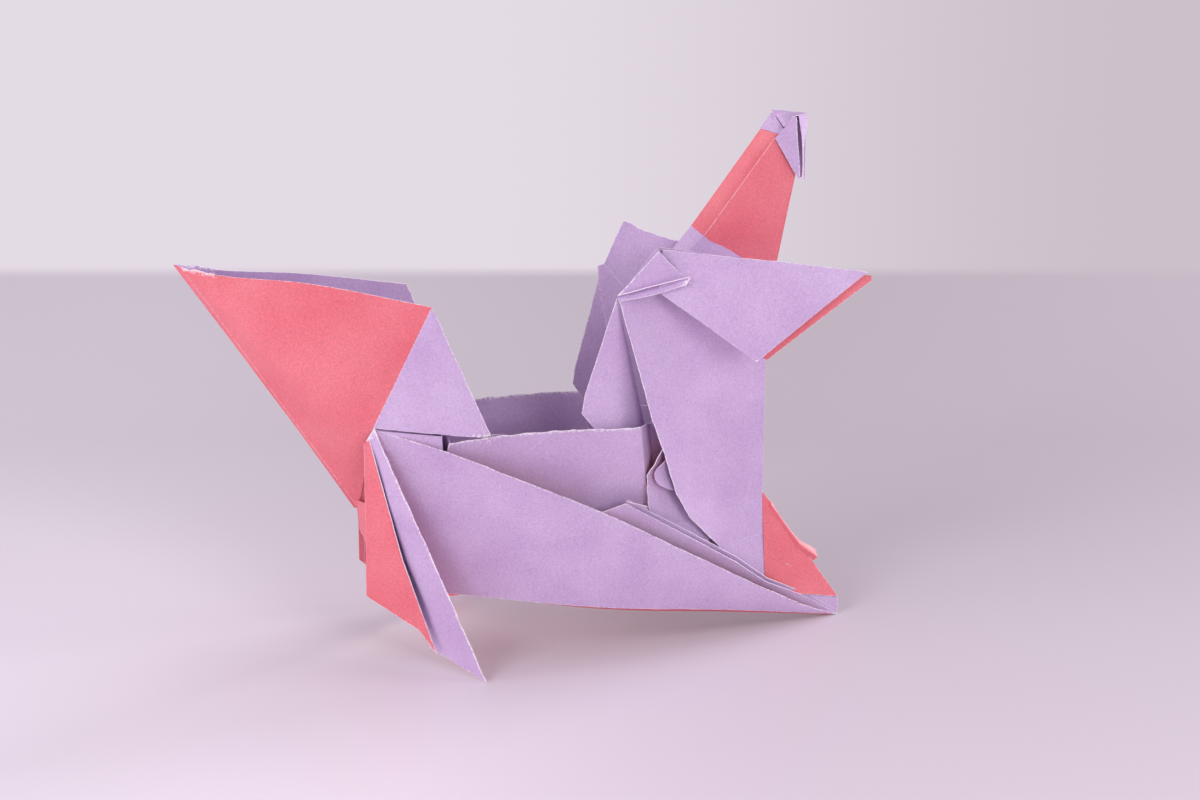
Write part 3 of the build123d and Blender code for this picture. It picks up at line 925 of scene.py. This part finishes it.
noseNear = {
    "places": {
        "near": (9.6, 1.85, 81.9), "notch": (10.7, 2.15, 80.4), "bridge": (12.2, 2.25, 78.8),
        "low": (8.7, 0.8, 72.9), "tip": (8, 0.75, 71.9), "lip": (8.9, 1.6, 81.7), "lipMid": (8.6, 1.4, 78),
        "lipLow": (8.05, 0.9, 73.6),
    },
    "facets": [facet("near lip", "notch lipMid", "bridge lipLow", "low tip", steps=(12, 34), smooth=False)],
    "raw": [("lip lipMid lipLow tip", 0.16, 0.03), ("bridge low tip", 0.07, 0.02)],
}
foldedPiece("noseFlapNear", noseNear)
noseFar = {
    "places": {
        "a": (8.3, 0.5, 81.7), "b": (6.65, -1, 81.4), "c": (7.75, 0.6, 78), "d": (7, -0.6, 79.2),
        "e": (7.5, 0.5, 74.3), "f": (7.3, -0.2, 76), "g": (7.6, 0.6, 72), "h": (7.1, 0, 71.7),
    },
    "facets": [facet("a b", "c d", "e f", "g h", steps=(10, 30), faces="fore")],
    "raw": [("a c e g", 0.1, 0.02), ("b d f h", 0.09, 0.03)],
}
foldedPiece("noseFlapFar", noseFar)
noseFarSide = {
    "places": {
        "bridge": (12.2, 2, 78.9), "heel": (11.6, 1.7, 82), "b": (6.65, 1, 81.2), "d": (7, 0.6, 79.2),
        "h": (7.1, 0, 71.7), "chin": chin,
    },
    "facets": [facet("heel b", "bridge d", "chin h", steps=(12, 24), smooth=False)],
    "raw": [("chin h", 0.08, 0.03)],
}
foldedPiece("noseSideFar", noseFarSide, far=True)

# Ears: a lilac front layer and a coral rear one that shows past it, on a short root
earPlaces = {
    "root": (29.8, 6.9, 63.9), "tip": (-0.6, 9.75, 59.9), "drop": (16.2, 10.6, 46.9),
    "heel": (30.6, 8.3, 57.8), "rearRoot": (29.4, 6.3, 62.9), "rearTip": (-1.3, 9.2, 59.1),
    "rearRound": (-1.3, 9.3, 58.4), "rearDrop": (14.5, 10, 46.9), "rearHeel": (30.5, 7.8, 57.8),
    "seatTop": neckSide(30.5, 62.9), "seatLow": neckSide(30.5, 57.9),
}
ear = {
    "places": earPlaces,
    "facets": [facet("root tip", "heel drop", steps=(80, 40), bulge=0.35)],
    "raw": [("root tip", 0.08, 0.07), ("tip drop", 0.06, 0.01), ("drop heel", 0.07, 0.03)],
}
earLining = {
    "places": earPlaces,
    "facets": [
        facet("rearRoot rearTip", "rearHeel rearRound", "rearHeel rearDrop", outside="coral", steps=(80, 40),
              smooth=False),
    ],
    "raw": [("rearRoot rearTip rearRound rearDrop", 0.06, 0.02)],
}
earSeat = {
    "places": earPlaces,
    "facets": [facet("root seatTop", "heel seatLow", steps=(10, 12), faces="rear")],
}
farEarDroop = 22.0      # degrees by which the far ear hangs lower
farEarSink = 1.6        # mm by which its root sits lower
neckFace = Vector((7.6, 24.1, 0)).normalized()
earPivot = Vector((-29.8, 6.8, 63.9))


def drooped(placed):
    turned = Matrix.Rotation(math.radians(farEarDroop), 3, neckFace)
    sunk = earPivot - Vector((0, 0, farEarSink))
    return np.array([turned @ (Vector(point) - earPivot) + sunk for point in placed])


for name, piece in (("ear", ear), ("earLining", earLining), ("earSeat", earSeat)):
    foldedPiece(name + "Near", piece)
    foldedPiece(name + "Far", piece, far=True, turn=drooped)

# Loose fibres where the sheet is torn
fibres("fibresRump", [(56.4, 9.1, 36.9), (57, 9.2, 37), (55.6, 8.8, 36.8)], 30, 1.7, 0.45, 3)
fibres("fibresTail", [(99.4, 0.9, 62.5), (97.4, 1.2, 62), (95.6, 1.5, 61.5), (100.3, 0.4, 62.5)],
       24, 0.7, 0.2, 5)
fibres("fibresPleat", [(26, 8.9, 59.3), (26.5, 8.8, 59)], 14, 0.5, 0.25, 7)
fibres("fibresTuck", [(31.9, 6.8, 28), (31.9, 6.8, 26.6)], 8, 0.5, 0.2, 9)
fibres("fibresSkirt", [(40.5, 9.75, 21.1), (46.7, 9.9, 19.6)], 12, 0.3, 0.12, 13)
fibres("fibresEar", [(9.7, 9.1, 59.2)], 6, 0.3, 0.1, 15)
fibres("fibresHip", [(73.3, 8.4, 38.8), (74, 8, 37.4)], 8, 0.4, 0.2, 11)
print("folded pieces made")

# A table with a soft sheen. Its colour is brightened towards the viewer and on the left, a painted
# light falloff. The pale wall is painted on it, beyond a line that runs square to the camera's
# heading, and only the camera sees that; it too is darker to the right, as painted shade.
stageLook = {
    # The left and right colours are painted shade: table and wall darker towards the right
    "tableLeft": "#DCD3DE", "tableRight": "#C4B9C3", "wallLeft": "#E4DBE5", "wallRight": "#CBC1CB",
    "tableTurn": (-0.20, 0.10),     # the span from left to right colour, as aside over ahead
    "wallTurn": (-0.05, 0.20),
    "lineAhead": 592.5,      # mm from the camera
    "softness": 5.0,         # mm
    "paintedLightSpan": (0.34, 0.49),       # metres from the camera
    "paintedLightShares": (1.26, 0.96),       # of the table's colour, at that span's two ends: painted light falloff
    "roughness": 0.42, "ior": 1.45, "specular": 0.35,
    "reach": 4.0,            # metres
}
shot = {"lens": 85.0, "sensor": 36.0, "at": (-101.5 + bowAhead, -400.3, 185.8), "elevation": 20.0,
        "turn": 9.0}
heading = (math.sin(math.radians(shot["turn"])), math.cos(math.radians(shot["turn"])), 0.0)
rightward = (heading[1], -heading[0], 0.0)
lineAt = sum(a * b for a, b in zip(shot["at"], heading)) + stageLook["lineAhead"]


def tableMaterial():
    material, tree, place = newMaterial("paintedTable")
    ahead = addNode(tree, "ShaderNodeVectorMath", {"operation": "DOT_PRODUCT", 1: heading}, {0: place})
    edges = [(lineAt + side * stageLook["softness"]) * mm for side in (-1, 1)]
    beyond = mapped(tree, ahead.outputs["Value"], edges, smooth=True)
    fromStand = addNode(tree, "ShaderNodeVectorMath",
                        {"operation": "SUBTRACT", 1: [v * mm for v in shot["at"]]}, {0: place})
    spans = [addNode(tree, "ShaderNodeVectorMath", {"operation": "DOT_PRODUCT", 1: axis},
                     {0: fromStand.outputs["Vector"]}).outputs["Value"] for axis in (rightward, heading)]
    aside = calculated(tree, "DIVIDE", *spans)
    table, wall = (colourBetween(tree, stageLook[piece + "Left"], stageLook[piece + "Right"],
                                 mapped(tree, aside, stageLook[piece + "Turn"], smooth=True))
                   for piece in ("table", "wall"))
    # Painted light: the table's colour brightened towards the viewer
    paintedLightFalloff = mapped(tree, spans[1], stageLook["paintedLightSpan"], stageLook["paintedLightShares"])
    pale = addNode(tree, "ShaderNodeVectorMath", {"operation": "SCALE"}, {0: table, "Scale": paintedLightFalloff})
    settings = {"Roughness": stageLook["roughness"], "IOR": stageLook["ior"],
                "Specular IOR Level": stageLook["specular"]}
    paint = addNode(tree, "ShaderNodeBsdfPrincipled", settings, {"Base Color": pale.outputs["Vector"]})
    glow = addNode(tree, "ShaderNodeEmission", {"Strength": 1.0}, {"Color": wall})
    view = addNode(tree, "ShaderNodeLightPath")
    seen = calculated(tree, "MULTIPLY", beyond, view.outputs["Is Camera Ray"])
    surface = addNode(tree, "ShaderNodeMixShader", None,
                      {0: seen, 1: paint.outputs["BSDF"], 2: glow.outputs["Emission"]})
    addNode(tree, "ShaderNodeOutputMaterial", None, {"Surface": surface.outputs["Shader"]})
    return material


tableMesh = bpy.data.meshes.new("table")
tableCorners = [(x * stageLook["reach"], y * stageLook["reach"], 0)
                for x, y in ((-1, -1), (1, -1), (1, 1), (-1, 1))]
tableMesh.from_pydata(tableCorners, [], [(0, 1, 2, 3)])
tableMesh.materials.append(tableMaterial())
table = addObject("table", tableMesh)

# Soft studio light, low and from the sides, in metres and watts
lamps = {
    "leftLow": {"at": (-0.81, -0.14, 0.24), "power": 2.1},
    "leftFront": {"at": (-0.55, -0.43, 0.50), "power": 2.5},
    "rightFront": {"at": (0.33, -0.71, 0.35), "power": 2.2},
    "rightLow": {"at": (0.81, -0.14, 0.24), "power": 1.9},
    "rightBehind": {"at": (0.75, 0.35, 0.24), "power": 4.9},
}
lampSize = 0.35      # metres, square
lampAim = Vector((0, 0, 0.03))
for name, lamp in lamps.items():
    light = bpy.data.lights.new(name, "AREA")
    light.shape = "SQUARE"
    light.size = lampSize
    light.energy = lamp["power"]
    holder = addObject(name, light)
    holder.location = lamp["at"]
    holder.rotation_euler = (lampAim - Vector(lamp["at"])).to_track_quat("-Z", "Y").to_euler()

# The even glow of a pale room, brighter where the camera sees it than where it lights the dog
roomLook = {"colour": "#E4DBE5", "strengths": (0.55, 0.9)}
world = bpy.data.worlds.new("studio")
world.use_nodes = True
worldTree = world.node_tree
worldTree.nodes.clear()
view = addNode(worldTree, "ShaderNodeLightPath")
glow = mapped(worldTree, view.outputs["Is Camera Ray"], (0.0, 1.0), roomLook["strengths"])
sky = addNode(worldTree, "ShaderNodeBackground", {"Color": hexColour(roomLook["colour"])},
              {"Strength": glow})
addNode(worldTree, "ShaderNodeOutputWorld", None, {"Surface": sky.outputs["Background"]})
bpy.context.scene.world = world

# Camera: 85 mm lens, about 450 mm from the bow's foot, 20 degrees above the table, turned by 9
camera = bpy.data.cameras.new("camera")
camera.lens = shot["lens"]
camera.sensor_width = shot["sensor"]
cameraHolder = addObject("camera", camera)
cameraHolder.location = [value * mm for value in shot["at"]]
cameraHolder.rotation_euler = (math.radians(90 - shot["elevation"]), 0, math.radians(-shot["turn"]))
bpy.context.scene.camera = cameraHolder
bpy.context.scene.view_settings.view_transform = "Standard"
print("stage, light and camera set")
